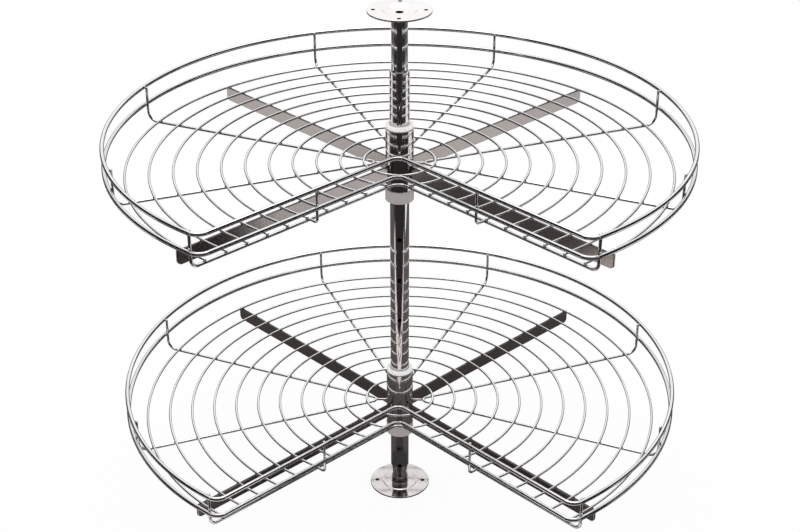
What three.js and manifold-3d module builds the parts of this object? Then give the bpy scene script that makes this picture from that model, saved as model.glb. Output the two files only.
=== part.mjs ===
// Two-tier revolving corner carousel: two three-quarter round wire baskets that turn on one
// telescopic post. Millimetres, +Z up. The origin is on the post axis, on the underside of the
// bottom flange. The notch of each basket opens towards -Y.
import * as THREE from "three";
import { mergeVertices } from "three/addons/utils/BufferGeometryUtils.js";
import Module from "manifold-3d";

const wasm = await Module();
wasm.setup();

// ---- driving dimensions, mm -------------------------------------------------------------------

const GAP = 0.3; // air left between pieces that are welded or rest on each other
const RUNNING = 0.3; // clearance round the post of what turns or slides over it
const SLIDING = 0.4; // clearance round the inner tube inside the outer one
const THROUGH = 20; // how far a cutting rod runs past the wall that it drills

const LOWER_FLOOR = 144; // height of the floor-ring plane of the lower basket
const UPPER_FLOOR = 506; // and of the upper basket

// basket wires; a rimInset is measured in from the centre of the rim wire
const RIM = { wire: 5.6, radius: 372, legOffset: 61, apexRadius: 11, cornerRadius: 16 };
const RIM_TOP = 43.6; // top rim centre above the floor rings
const RIM_MID = 18.6; // middle rim centre above the floor rings
const POST_STANDOUT = 1; // the upright wires end this far above the top rim's centre
const FLOOR = { wire: 3.2, count: 11, firstRadius: 46, rimInset: 24, overhang: 1.5 };
const EDGE = { wire: 4, legOffset: 42, apexRadius: 14, bendRadius: 10 }; // notch edge wire
const RADIAL = { wire: 3.4, apex: 23.1, tipRadius: 6.1, postAngle: 20.95, bendRadius: 13 };
const LEG_POST = { wire: 3.4, along: 188.8, bendRadius: 6 };

// hub and spider
const HUB = { outer: 36, wall: 2.5, below: 38, above: 45.6 };
const LUG_WIRE = 3.2; // short bars from the hub to the side radial wires
const BUSH = { head: 35.4, headHeight: 5.6, chamfer: 1.5 };
const ARM = { height: 19, thick: 3, rimInset: 18, cornerRadius: 6 };

// post: a tube swaged to a neck at its foot, and the tube that slides out of its top
const POST = { outer: 25, wall: 1.9, top: 629 };
const NECK = { outer: 21.6, wall: 1.8, top: 20, taper: 13 };
const POST_HOLE_HEIGHTS = [35.3, 65.1, 275.4, 336.2, 397];
const INNER = { wall: 1.5, bottom: 530 };

// collars that hold the hubs up, each fixed to the post by a screw in its rear
const COLLAR = { outer: 37.3, height: 16.5, chamfer: 1 };
const SCREW = { body: 5.8, inPost: 4, recess: 0.45, socket: 3, socketDepth: 3, postPlay: 0.35 };

// flanges
const FLANGE = { thick: 2.3, edge: 0.6, domeRadius: 23, domeSlope: 1.5 };
const BOTTOM_DIA = 83.6;
const BOTTOM_DOME_RISE = 0.8;
const TOP_DIA = 80.6;
const TOP_DISH = { radius: 22, slope: 5, depth: 2.8, lip: 1 }; // its sunk middle
const CUP = { wall: 0.8, height: 13, edge: 0.3, floor: 2.8 };
const TOP_FLANGE_UNDERSIDE = 701;
const TOP_CENTRE_HOLE = 9.8;
const SCREW_HOLE = { dia: 5.6, circle: 64.8, count: 4 };

// ---- sizes that follow from them --------------------------------------------------------------

const hubBore = HUB.outer - 2 * HUB.wall;
const postBore = POST.outer - 2 * POST.wall;
const neckBore = NECK.outer - 2 * NECK.wall;
const innerOuter = postBore - 2 * SLIDING;
const sleeveBore = POST.outer + 2 * RUNNING; // through the bushes and the collars
const uprightTop = RIM_TOP + POST_STANDOUT;
const underRings = (diameter) => -(FLOOR.wire + diameter) / 2 - GAP; // a wire right under the rings
const insideRim = (diameter) => RIM.radius - (RIM.wire + diameter) / 2 - GAP;

// ---- finishes ---------------------------------------------------------------------------------

const finish = (color, roughness, metalness) => () =>
  new THREE.MeshStandardMaterial({ color, roughness, metalness });
const chrome = finish(0xd6d6d8, 0.12, 1);
const satinChrome = finish(0xa8a29e, 0.3, 1);
const whitePlastic = finish(0xf1efec, 0.45, 0);
const greyPlastic = finish(0xafa8a5, 0.55, 0);
const darkSteel = finish(0x3a3938, 0.4, 1);

const DEG = Math.PI / 180;
const V = (x, y, z) => new THREE.Vector3(x, y, z);

function mesh(name, geometry, material) {
  const made = new THREE.Mesh(geometry, material());
  made.name = name;
  return made;
}

// ---- solids -----------------------------------------------------------------------------------

function toSolid(geometry) {
  const bare = geometry.clone();
  bare.deleteAttribute("normal");
  bare.deleteAttribute("uv");
  const merged = mergeVertices(bare, 1e-4);
  return new wasm.Manifold(
    new wasm.Mesh({
      numProp: 3,
      vertProperties: new Float32Array(merged.attributes.position.array),
      triVerts: new Uint32Array(merged.index.array),
    }),
  );
}

function toGeometry(solid) {
  const { vertProperties, triVerts } = solid.getMesh();
  const geometry = new THREE.BufferGeometry();
  geometry.setAttribute("position", new THREE.Float32BufferAttribute(vertProperties, 3));
  geometry.setIndex(new THREE.Uint32BufferAttribute(triVerts, 1));
  geometry.computeVertexNormals();
  return geometry;
}

const cut = (body, tools) =>
  toGeometry(tools.reduce((solid, tool) => solid.subtract(toSolid(tool)), toSolid(body)));
const join = (body, others) =>
  toGeometry(others.reduce((solid, other) => solid.add(toSolid(other)), toSolid(body)));

// a turned piece about the Z axis from [radius, height] pairs
function turned(profile, segments = 24, closed = true) {
  const points = profile.map(([r, z]) => new THREE.Vector2(r, z));
  if (closed) points.push(points[0].clone());
  return new THREE.LatheGeometry(points, segments).rotateX(Math.PI / 2);
}

const tubeProfile = (outer, bore, bottom, top) => [
  [bore / 2, bottom],
  [outer / 2, bottom],
  [outer / 2, top],
  [bore / 2, top],
];

const rodX = (dia, from, to, sides = 12) =>
  new THREE.CylinderGeometry(dia / 2, dia / 2, to - from, sides)
    .rotateZ(Math.PI / 2)
    .translate((from + to) / 2, 0, 0);
const rodY = (dia, from, to, sides = 12) => rodX(dia, from, to, sides).rotateZ(Math.PI / 2);
const rodZ = (dia, from, to, sides = 12) =>
  new THREE.CylinderGeometry(dia / 2, dia / 2, to - from, sides)
    .rotateX(Math.PI / 2)
    .translate(0, 0, (from + to) / 2);

// ---- wires ------------------------------------------------------------------------------------

// a round wire of the given diameter swept along a chain of points
function wire(points, dia, closed = false, sides = 6) {
  const n = points.length;
  const direction = (i, j) => points[j].clone().sub(points[i]).normalize();
  const tangents = points.map((_, i) => {
    const sum = V(0, 0, 0);
    if (closed || i > 0) sum.add(direction((i - 1 + n) % n, i));
    if (closed || i < n - 1) sum.add(direction(i, (i + 1) % n));
    return sum.normalize();
  });
  const positions = [];
  const normal = Math.abs(tangents[0].z) < 0.9 ? V(0, 0, 1) : V(0, 1, 0);
  for (let i = 0; i < n; i++) {
    normal.addScaledVector(tangents[i], -normal.dot(tangents[i])).normalize();
    const side = tangents[i].clone().cross(normal);
    for (let k = 0; k < sides; k++) {
      const angle = (2 * Math.PI * k) / sides;
      const at = points[i]
        .clone()
        .addScaledVector(normal, (Math.cos(angle) * dia) / 2)
        .addScaledVector(side, (Math.sin(angle) * dia) / 2);
      positions.push(at.x, at.y, at.z);
    }
  }
  const index = [];
  for (let i = 0; i < (closed ? n : n - 1); i++) {
    const near = i * sides;
    const far = ((i + 1) % n) * sides;
    for (let k = 0; k < sides; k++) {
      const next = (k + 1) % sides;
      index.push(near + k, near + next, far + next, near + k, far + next, far + k);
    }
  }
  if (!closed) {
    const last = (n - 1) * sides;
    for (let k = 1; k < sides - 1; k++) {
      index.push(0, k + 1, k, last, last + k, last + k + 1);
    }
  }
  const geometry = new THREE.BufferGeometry();
  geometry.setAttribute("position", new THREE.Float32BufferAttribute(positions, 3));
  geometry.setIndex(index);
  geometry.computeVertexNormals();
  return geometry;
}

// the chain of points with each inner corner rounded to its radius
function rounded(points, radii, steps = 5) {
  const chain = [];
  points.forEach((corner, i) => {
    const radius = radii[i];
    if (!radius) {
      chain.push(corner.clone());
      return;
    }
    const back = points[i - 1].clone().sub(corner).normalize();
    const ahead = points[i + 1].clone().sub(corner).normalize();
    const half = back.angleTo(ahead) / 2;
    const centre = back
      .clone()
      .add(ahead)
      .normalize()
      .multiplyScalar(radius / Math.sin(half))
      .add(corner);
    const start = corner.clone().addScaledVector(back, radius / Math.tan(half)).sub(centre);
    const end = corner.clone().addScaledVector(ahead, radius / Math.tan(half)).sub(centre);
    const sweep = start.angleTo(end);
    for (let k = 0; k <= steps; k++) {
      const t = k / steps;
      const at = start
        .clone()
        .multiplyScalar(Math.sin((1 - t) * sweep))
        .addScaledVector(end, Math.sin(t * sweep))
        .divideScalar(Math.sin(sweep))
        .add(centre);
      chain.push(at);
    }
  });
  return chain;
}

// a point beside a notch leg: `along` it from the post axis and `offset` into the notch;
// side is -1 for the left leg and 1 for the right one
const besideLeg = (side, along, offset, z) =>
  V(side * (along - offset) * Math.SQRT1_2, -(along + offset) * Math.SQRT1_2, z);

const turnedPoints = (points, angle) => points.map((p) => p.applyAxisAngle(V(0, 0, 1), angle));

function arcPoints(radius, from, to, steps, z, centre = V(0, 0, 0)) {
  return Array.from({ length: steps + 1 }, (_, k) => {
    const angle = from + ((to - from) * k) / steps;
    return V(centre.x + radius * Math.cos(angle), centre.y + radius * Math.sin(angle), z);
  });
}

// the three-quarter outline shared by both rims
function rimOutline(z) {
  const { radius, legOffset, apexRadius, cornerRadius } = RIM;
  const innerOffset = legOffset - cornerRadius;
  const along = Math.sqrt((radius - cornerRadius) ** 2 - innerOffset ** 2);
  const corner = besideLeg(1, along, innerOffset, z);
  const cornerAngle = Math.atan2(corner.y, corner.x);
  const right = arcPoints(cornerRadius, -135 * DEG, cornerAngle, 4, z, corner);
  const steps = 44;
  const clear = radius / Math.cos((Math.PI / 2 - cornerAngle) / steps); // chords stay outside it
  const sweep = arcPoints(clear, cornerAngle, Math.PI - cornerAngle, steps, z).slice(1, -1);
  const left = right.map((p) => V(-p.x, p.y, p.z)).reverse();
  const apexCentre = V(0, -(legOffset + apexRadius) * Math.SQRT2, z);
  const apex = arcPoints(apexRadius, 135 * DEG, 45 * DEG, 4, z, apexCentre);
  return [...apex, ...right, ...sweep, ...left];
}

// ---- one basket -------------------------------------------------------------------------------

function floorRings(name, tier) {
  const lastRadius = RIM.radius - FLOOR.rimInset;
  const pitch = (lastRadius - FLOOR.firstRadius) / (FLOOR.count - 1);
  for (let k = 0; k < FLOOR.count; k++) {
    const radius = FLOOR.firstRadius + k * pitch;
    const label = `${name}_floor_ring_${String(k + 1).padStart(2, "0")}`;
    const steps = 18 + k;
    if (k === 0) {
      const loop = arcPoints(radius, 0, 2 * Math.PI, 20, 0).slice(0, -1);
      tier.add(mesh(label, wire(loop, FLOOR.wire, true), chrome));
      continue;
    }
    const past = Math.asin((EDGE.legOffset + FLOOR.overhang) / radius);
    const from = -45 * DEG - past;
    const chain = arcPoints(radius, from, Math.PI - from, steps, 0);
    tier.add(mesh(label, wire(chain, FLOOR.wire), chrome));
  }
}

function notchEdgeWire() {
  const z = underRings(EDGE.wire);
  const along = Math.sqrt(insideRim(EDGE.wire) ** 2 - EDGE.legOffset ** 2);
  const at = (side, height) => besideLeg(side, along, EDGE.legOffset, height);
  const corners = [
    at(-1, uprightTop),
    at(-1, z),
    V(0, -EDGE.legOffset * Math.SQRT2, z),
    at(1, z),
    at(1, uprightTop),
  ];
  const radii = [0, EDGE.bendRadius, EDGE.apexRadius, EDGE.bendRadius, 0];
  return wire(rounded(corners, radii), EDGE.wire);
}

// the tops of a radial wire's two uprights, `side` -1 and 1 of the X axis
function radialUpright(side, height) {
  const reach = insideRim(RADIAL.wire);
  const angle = RADIAL.postAngle * DEG;
  return V(reach * Math.cos(angle), side * reach * Math.sin(angle), height);
}

// how far from the post axis the rounded tip of a radial wire comes
function radialTip() {
  const { x, y } = radialUpright(1, 0);
  const half = Math.atan2(y, x - RADIAL.apex);
  return RADIAL.apex + RADIAL.tipRadius * (1 / Math.sin(half) - 1);
}

// a hairpin: up one side of the rim, in to the hub and back out
function radialWire(azimuth) {
  const z = underRings(RADIAL.wire);
  const corners = [
    radialUpright(-1, uprightTop),
    radialUpright(-1, z),
    V(RADIAL.apex, 0, z),
    radialUpright(1, z),
    radialUpright(1, uprightTop),
  ];
  const radii = [0, RADIAL.bendRadius, RADIAL.tipRadius, RADIAL.bendRadius, 0];
  return wire(turnedPoints(rounded(corners, radii), azimuth * DEG), RADIAL.wire);
}

// a J inside both rims of a notch leg, its foot ending at the side of the notch edge wire
function legPost(side) {
  const offset = RIM.legOffset - (RIM.wire + LEG_POST.wire) / 2 - GAP;
  const z = underRings(LEG_POST.wire);
  const at = (away, height) => besideLeg(side, LEG_POST.along, away, height);
  const foot = EDGE.legOffset + EDGE.wire / 2 + GAP;
  const corners = [at(offset, uprightTop), at(offset, z), at(foot, z)];
  return wire(rounded(corners, [0, LEG_POST.bendRadius, 0]), LEG_POST.wire);
}

// a flat bar on edge, welded to the hub and passing under the floor rings
function arm(azimuth) {
  const top = -FLOOR.wire / 2 - GAP;
  const bottom = top - ARM.height;
  const start = HUB.outer / 2 + GAP;
  const end = RIM.radius - ARM.rimInset;
  const { cornerRadius, thick } = ARM;
  const side = new THREE.Shape();
  side.moveTo(start, bottom);
  side.lineTo(end - cornerRadius, bottom);
  side.absarc(end - cornerRadius, bottom + cornerRadius, cornerRadius, -Math.PI / 2, 0);
  side.lineTo(end, top);
  side.lineTo(start, top);
  side.closePath();
  return new THREE.ExtrudeGeometry(side, { depth: thick, bevelEnabled: false, curveSegments: 4 })
    .translate(0, 0, -thick / 2)
    .rotateX(Math.PI / 2)
    .rotateZ(azimuth * DEG);
}

function hub() {
  const tube = turned(tubeProfile(HUB.outer, hubBore, -HUB.below, HUB.above));
  const root = (HUB.outer - HUB.wall) / 2;
  const end = radialTip() - RADIAL.wire / 2 - GAP;
  const height = underRings(RADIAL.wire);
  const lug = (angle) => rodX(LUG_WIRE, root, end, 8).rotateZ(angle).translate(0, 0, height);
  return join(tube, [lug(0), lug(Math.PI)]);
}

function bush() {
  const { headHeight, chamfer } = BUSH;
  const sleeve = hubBore / 2 - GAP;
  const head = BUSH.head / 2;
  const bore = sleeveBore / 2;
  const under = HUB.above + GAP;
  const top = under + headHeight;
  return turned([
    [bore, -HUB.below],
    [sleeve, -HUB.below],
    [sleeve, under],
    [head, under],
    [head, top - chamfer],
    [head - chamfer, top],
    [bore, top],
  ]);
}

function basket(name, height) {
  const tier = new THREE.Group();
  tier.position.z = height;
  tier.add(mesh(`${name}_hub`, hub(), chrome));
  tier.add(mesh(`${name}_hub_bush`, bush(), whitePlastic));
  const arms = { front_right: -45, rear_right: 45, rear_left: 135, front_left: 225 };
  for (const [place, azimuth] of Object.entries(arms)) {
    tier.add(mesh(`${name}_arm_${place}`, arm(azimuth), satinChrome));
  }
  tier.add(mesh(`${name}_top_rim`, wire(rimOutline(RIM_TOP), RIM.wire, true), chrome));
  tier.add(mesh(`${name}_middle_rim`, wire(rimOutline(RIM_MID), RIM.wire, true), chrome));
  tier.add(mesh(`${name}_notch_edge_wire`, notchEdgeWire(), chrome));
  floorRings(name, tier);
  const radials = { right: 0, rear: 90, left: 180 };
  for (const [place, azimuth] of Object.entries(radials)) {
    tier.add(mesh(`${name}_radial_wire_${place}`, radialWire(azimuth), chrome));
  }
  tier.add(mesh(`${name}_leg_post_left`, legPost(-1), chrome));
  tier.add(mesh(`${name}_leg_post_right`, legPost(1), chrome));
  return tier;
}

// ---- the post and what stays on it -------------------------------------------------------------

const collarTop = (floor) => floor - HUB.below - GAP;
const collarMiddle = (floor) => collarTop(floor) - COLLAR.height / 2;

function collar() {
  const { outer, height, chamfer } = COLLAR;
  const r = outer / 2;
  const bore = sleeveBore / 2;
  const ring = turned([
    [bore, -height],
    [r - chamfer, -height],
    [r, chamfer - height],
    [r, -chamfer],
    [r - chamfer, 0],
    [bore, 0],
  ]);
  const hole = rodY(SCREW.body + 2 * GAP, 0, r + THROUGH).translate(0, 0, -height / 2);
  return cut(ring, [hole]);
}

function collarScrew() {
  const { body, inPost, recess, socket, socketDepth } = SCREW;
  const outerEnd = COLLAR.outer / 2 - recess;
  const socketDia = socket / Math.cos(Math.PI / 6);
  const socketCut = rodY(socketDia, outerEnd - socketDepth, outerEnd + THROUGH, 6);
  return cut(rodY(body, POST.outer / 2 - inPost, outerEnd), [socketCut]);
}

function outerTube() {
  const foot = CUP.floor + GAP;
  const taperTop = NECK.top + NECK.taper;
  const tube = turned([
    [neckBore / 2, foot],
    [NECK.outer / 2, foot],
    [NECK.outer / 2, NECK.top],
    [POST.outer / 2, taperTop],
    [POST.outer / 2, POST.top],
    [postBore / 2, POST.top],
    [postBore / 2, taperTop],
    [neckBore / 2, NECK.top],
  ]);
  const heights = [...POST_HOLE_HEIGHTS, collarMiddle(LOWER_FLOOR), collarMiddle(UPPER_FLOOR)];
  const reach = POST.outer / 2 + THROUGH;
  const drill = rodY(SCREW.body + 2 * SCREW.postPlay, -reach, reach);
  return cut(
    tube,
    heights.map((z) => drill.clone().translate(0, 0, z)),
  );
}

const innerTube = () =>
  turned(
    tubeProfile(innerOuter, innerOuter - 2 * INNER.wall, INNER.bottom, TOP_FLANGE_UNDERSIDE - GAP),
  );

function screwHoles() {
  return Array.from({ length: SCREW_HOLE.count }, (_, k) =>
    rodZ(SCREW_HOLE.dia, -THROUGH, THROUGH)
      .translate(SCREW_HOLE.circle / 2, 0, 0)
      .rotateZ((k * 2 * Math.PI) / SCREW_HOLE.count),
  );
}

// the underside is flat; a shallow dome and a cup that takes the neck of the post stand on top
function bottomFlange() {
  const { thick, edge, domeRadius, domeSlope } = FLANGE;
  const r = BOTTOM_DIA / 2;
  const domeTop = thick + BOTTOM_DOME_RISE;
  const cupBore = NECK.outer / 2 + GAP;
  const cupOuter = cupBore + CUP.wall;
  const plate = turned(
    [
      [0, 0],
      [r, 0],
      [r, thick - edge],
      [r - edge, thick],
      [domeRadius + domeSlope, thick],
      [domeRadius, domeTop],
      [cupOuter, domeTop],
      [cupOuter, CUP.height - CUP.edge],
      [cupOuter - CUP.edge, CUP.height],
      [cupBore, CUP.height],
      [cupBore, CUP.floor],
      [0, CUP.floor],
    ],
    32,
    false,
  );
  return cut(plate, screwHoles());
}

// the underside of its sunk middle rests on the inner tube; a hole goes through it
function topFlange() {
  const { thick, edge } = FLANGE;
  const { radius, slope, depth, lip } = TOP_DISH;
  const r = TOP_DIA / 2;
  const centre = TOP_CENTRE_HOLE / 2;
  const plate = turned(
    [
      [centre, 0],
      [radius + lip - slope, 0],
      [radius + lip, depth],
      [r - edge, depth],
      [r, depth + edge],
      [r, depth + thick],
      [radius, depth + thick],
      [radius - slope, thick],
      [centre, thick],
    ],
    32,
  );
  return cut(plate, screwHoles()).translate(0, 0, TOP_FLANGE_UNDERSIDE);
}

// ---- assembly ---------------------------------------------------------------------------------

const carousel = new THREE.Group();

carousel.add(mesh("bottom_flange", bottomFlange(), chrome));
carousel.add(mesh("post_outer_tube", outerTube(), chrome));
carousel.add(mesh("post_inner_tube", innerTube(), chrome));
carousel.add(mesh("top_flange", topFlange(), chrome));

for (const [name, floor] of [
  ["lower", LOWER_FLOOR],
  ["upper", UPPER_FLOOR],
]) {
  const ring = mesh(`${name}_collar`, collar(), greyPlastic);
  ring.position.z = collarTop(floor);
  const screw = mesh(`${name}_collar_screw`, collarScrew(), darkSteel);
  screw.position.z = collarMiddle(floor);
  carousel.add(ring, screw, basket(name, floor));
}

export default carousel;
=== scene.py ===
"""Looks of a two-tier revolving corner carousel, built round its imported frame. Metres, +Z up.

Every piece of the frame is dressed here with a smooth piece of the same size: round wire in place
of the faceted sweeps, turned tubes and flanges with eased edges, and the weld beads between them.
"""

import math

import bpy
from mathutils import Matrix, Quaternion, Vector


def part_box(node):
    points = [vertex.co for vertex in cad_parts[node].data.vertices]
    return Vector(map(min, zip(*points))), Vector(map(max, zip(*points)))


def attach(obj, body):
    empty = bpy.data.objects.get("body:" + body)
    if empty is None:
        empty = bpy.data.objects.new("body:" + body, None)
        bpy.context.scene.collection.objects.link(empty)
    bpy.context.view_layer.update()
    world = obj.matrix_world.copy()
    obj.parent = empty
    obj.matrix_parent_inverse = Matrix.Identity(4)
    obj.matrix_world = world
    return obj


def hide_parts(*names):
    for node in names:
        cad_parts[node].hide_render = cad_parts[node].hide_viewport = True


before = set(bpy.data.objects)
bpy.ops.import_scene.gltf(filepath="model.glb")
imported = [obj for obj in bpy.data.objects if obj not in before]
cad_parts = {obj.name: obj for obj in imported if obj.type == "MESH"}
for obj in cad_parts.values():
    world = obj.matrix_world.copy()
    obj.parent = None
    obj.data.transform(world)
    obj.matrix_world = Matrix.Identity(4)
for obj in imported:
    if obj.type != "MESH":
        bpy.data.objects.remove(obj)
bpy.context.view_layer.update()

MM = 0.001
UP = Vector((0, 0, 1))

# ---- driving dimensions, metres ----------------------------------------------------------------

WELD_GAP = 0.3 * MM  # air between pieces of the frame that the weld beads fill

RIM_WIRE = 5.6 * MM
RIM_RADIUS = 372 * MM
RIM_LEG_OFFSET = 61 * MM  # from the post axis to each leg of the notch
RIM_APEX_BEND = 11 * MM
RIM_CORNER = 16 * MM  # bend radius where the legs meet the sweep
RIM_TOP = 43.6 * MM  # above the floor rings
RIM_MID = 18.6 * MM
UPRIGHT_TOP = RIM_TOP + 1 * MM

RING_WIRE = 3.2 * MM
RING_COUNT = 11
FIRST_RING = 46 * MM
LAST_RING = RIM_RADIUS - 24 * MM
RING_OVERHANG = 1.5 * MM  # the ends of a ring run this far past the notch edge wire

EDGE_WIRE = 4 * MM
EDGE_OFFSET = 42 * MM
EDGE_APEX_BEND = 14 * MM
EDGE_CORNER_BEND = 10 * MM

RADIAL_WIRE = 3.4 * MM
RADIAL_APEX = 23.1 * MM
RADIAL_TIP_BEND = 6.1 * MM
RADIAL_FOOT_BEND = 13 * MM
RADIAL_SPREAD = math.radians(20.95)

LEG_POST_WIRE = 3.4 * MM
LEG_POST_ALONG = 188.8 * MM
LEG_POST_BEND = 6 * MM

HUB_OUTER = 36 * MM
HUB_WALL = 2.5 * MM
HUB_BELOW = 38 * MM
HUB_ABOVE = 45.6 * MM
LUG_WIRE = 3.2 * MM

BUSH_HEAD = 35.4 * MM
BUSH_HEAD_HEIGHT = 5.6 * MM
BUSH_WALL_GAP = 0.3 * MM

ARM_HEIGHT = 19 * MM
ARM_THICK = 3 * MM
ARM_END = RIM_RADIUS - 18 * MM
ARM_CORNER = 6 * MM

SLEEVE_BORE = 25.6 * MM
COLLAR_OUTER = 37.3 * MM

POST_OUTER = 25 * MM
POST_WALL = 1.9 * MM
NECK_OUTER = 21.6 * MM
NECK_WALL = 1.8 * MM
NECK_TOP = 20 * MM
NECK_TAPER = 13 * MM
POST_HOLE = 6.5 * MM
POST_HOLE_HEIGHTS = [35.3 * MM, 65.1 * MM, 275.4 * MM, 336.2 * MM, 397 * MM]
INNER_OUTER = 20.4 * MM
INNER_WALL = 1.5 * MM

FLANGE_THICK = 2.3 * MM
DOME_RADIUS = 23 * MM
DOME_RISE = 0.8 * MM  # of the bottom flange
DOME_SLOPE = 1.5 * MM
DISH_RADIUS = 22 * MM  # the sunk middle of the top flange
DISH_SLOPE = 5 * MM
DISH_DEPTH = 2.8 * MM
DISH_LIP = 1 * MM
CUP_WALL = 0.8 * MM
CUP_HEIGHT = 13 * MM
TOP_CENTRE_HOLE = 9.8 * MM
SCREW_HOLE = 5.6 * MM
SCREW_CIRCLE = 64.8 * MM
SCREW_COUNT = 4

HUB_EASE = 0.5 * MM  # radii of the eased edges
BUSH_EASE = 0.7 * MM
ARM_EASE = 0.5 * MM
COLLAR_EASE = 1 * MM
POST_EASE = 0.6 * MM
INNER_EASE = 0.4 * MM
FLANGE_EASE = 0.6 * MM
BUSH_CHAMFER = 1.5 * MM  # round the top of the bush's head

SCREW_SOCKET = 3 * MM  # across the flats of the hexagon in a set screw
SOCKET_DEPTH = 3 * MM

TIERS = ("lower", "upper")


def floor_of(tier):
    low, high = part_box(f"{tier}_floor_ring_01")
    return (low.z + high.z) / 2


def under_rings(diameter):
    """Height of a wire that lies right under the floor rings."""
    return -(RING_WIRE + diameter) / 2 - WELD_GAP


def inside_rim(diameter):
    """Radius of an upright that stands right inside the rims."""
    return RIM_RADIUS - (RIM_WIRE + diameter) / 2 - WELD_GAP


def ring_radii():
    pitch = (LAST_RING - FIRST_RING) / (RING_COUNT - 1)
    return [FIRST_RING + k * pitch for k in range(RING_COUNT)]


# ---- camera ------------------------------------------------------------------------------------

IMAGE_WIDTH = 800  # pixels of the photograph
FOCAL_PIXELS = 1552.2
PRINCIPAL_DROP = 37.3  # the optical axis meets the picture this many pixels below its middle
PRINCIPAL_RIGHT = 1.6  # and to the right of it
CAMERA_DISTANCE = 1.8158  # from the post, on the level
CAMERA_AZIMUTH = math.radians(1.195)  # the camera stands this far to the right of the notch
CAMERA_HEIGHT = 1.3323
CAMERA_PITCH = math.radians(29.74)
CAMERA_AIM = math.radians(1.115)  # and looks this far to the left
CLIP_NEAR = 0.05
CLIP_FAR = 60


def add_camera():
    data = bpy.data.cameras.new("camera")
    data.lens = FOCAL_PIXELS * data.sensor_width / IMAGE_WIDTH
    data.shift_x = -PRINCIPAL_RIGHT / IMAGE_WIDTH
    data.shift_y = PRINCIPAL_DROP / IMAGE_WIDTH
    data.clip_start = CLIP_NEAR
    data.clip_end = CLIP_FAR
    camera = bpy.data.objects.new("camera", data)
    aside = CAMERA_DISTANCE * math.sin(CAMERA_AZIMUTH)
    back = CAMERA_DISTANCE * math.cos(CAMERA_AZIMUTH)
    camera.location = (aside, -back, CAMERA_HEIGHT)
    camera.rotation_euler = (math.pi / 2 - CAMERA_PITCH, 0, CAMERA_AIM)
    bpy.context.scene.collection.objects.link(camera)
    bpy.context.scene.camera = camera


# ---- materials ---------------------------------------------------------------------------------

NOISE_SPREAD = (0.35, 0.65)  # nearly all values of a noise texture lie between these
EDGE_SHADE_SPREAD = (0.3, 0.7)  # how upright a normal gets where the side of a bar turns into its edge; the painted shade comes in over it
ALONG_POST = (1, 1, 0.15)  # noise drawn out along the axis of a tube

DRIFT_SCALE = 1 / 4  # scales of the noise in colour and in gloss, next to that of the ripples
HAZE_SCALE = 6
RIPPLE_STRENGTH = 0.5
RIPPLE_DEPTH = 0.02 * MM

PLASTIC_IOR = 1.49
PLASTIC_DRIFT_SCALE = 40
GRAIN_SCALE = 900
GRAIN_DEPTH = 0.05 * MM


def new_material(name):
    made = bpy.data.materials.new(name)
    made.use_nodes = True
    tree = made.node_tree
    return made, tree.nodes, tree.links, tree.nodes["Principled BSDF"]


def opaque(colour):
    """A grey or a colour, with its alpha."""
    red, green, blue = colour if isinstance(colour, tuple) else (colour, colour, colour)
    return red, green, blue, 1


def noise(nodes, links, scale, detail=3, stretch=(1, 1, 1)):
    """Noise in the object's own space, drawn out along the axes by `stretch`."""
    place = nodes.new("ShaderNodeTexCoord")
    mapping = nodes.new("ShaderNodeMapping")
    mapping.inputs["Scale"].default_value = stretch
    texture = nodes.new("ShaderNodeTexNoise")
    texture.inputs["Scale"].default_value = scale
    texture.inputs["Detail"].default_value = detail
    links.new(place.outputs["Object"], mapping.inputs["Vector"])
    links.new(mapping.outputs["Vector"], texture.inputs["Vector"])
    return texture.outputs["Fac"]


def ramp(nodes, links, value, low, high, spread=NOISE_SPREAD):
    """A value, from one end of `spread` to the other, turned into a grey or colour."""
    made = nodes.new("ShaderNodeValToRGB")
    first, last = made.color_ramp.elements
    first.position, last.position = spread
    first.color, last.color = opaque(low), opaque(high)
    links.new(value, made.inputs["Fac"])
    return made.outputs["Color"]


def product(nodes, links, one, other):
    """Two colours multiplied channel by channel."""
    made = nodes.new("ShaderNodeVectorMath")
    made.operation = "MULTIPLY"
    links.new(one, made.inputs[0])
    links.new(other, made.inputs[1])
    return made.outputs["Vector"]


def bump(nodes, links, height, strength, distance):
    made = nodes.new("ShaderNodeBump")
    made.inputs["Strength"].default_value = strength
    made.inputs["Distance"].default_value = distance
    links.new(height, made.inputs["Height"])
    return made.outputs["Normal"]


def painted_edge_shade(nodes, links, colour, share):
    """Painted shade: the colour, brought down to `share` of itself on faces that look up or down.
    """
    place = nodes.new("ShaderNodeTexCoord")
    parts = nodes.new("ShaderNodeSeparateXYZ")
    upright = nodes.new("ShaderNodeMath")
    upright.operation = "ABSOLUTE"
    links.new(place.outputs["Normal"], parts.inputs[0])
    links.new(parts.outputs["Z"], upright.inputs[0])
    kept = ramp(nodes, links, upright.outputs[0], 1, share, EDGE_SHADE_SPREAD)
    return product(nodes, links, colour, kept)


def plated(name, light, dark, gloss, scale, stretch=(1, 1, 1), edge=1):
    """Chrome plate: colour and gloss drift slowly, and the surface ripples a little.

    `gloss` is the least and the most roughness, `scale` that of the ripples, and `edge` the share
    of the colour that the upper and lower edges of a bar keep, as painted shade.
    """
    made, nodes, links, shader = new_material(name)
    shader.inputs["Metallic"].default_value = 1
    drift = noise(nodes, links, scale * DRIFT_SCALE, stretch=stretch)
    haze = noise(nodes, links, scale * HAZE_SCALE, detail=5, stretch=stretch)
    waves = noise(nodes, links, scale, detail=2, stretch=stretch)
    colour = ramp(nodes, links, drift, dark, light)
    # painted shade on the faces that look up or down
    if edge < 1:
        colour = painted_edge_shade(nodes, links, colour, edge)
    ripples = bump(nodes, links, waves, RIPPLE_STRENGTH, RIPPLE_DEPTH)
    links.new(colour, shader.inputs["Base Color"])
    links.new(ramp(nodes, links, haze, *gloss), shader.inputs["Roughness"])
    links.new(ripples, shader.inputs["Normal"])
    return made


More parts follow.
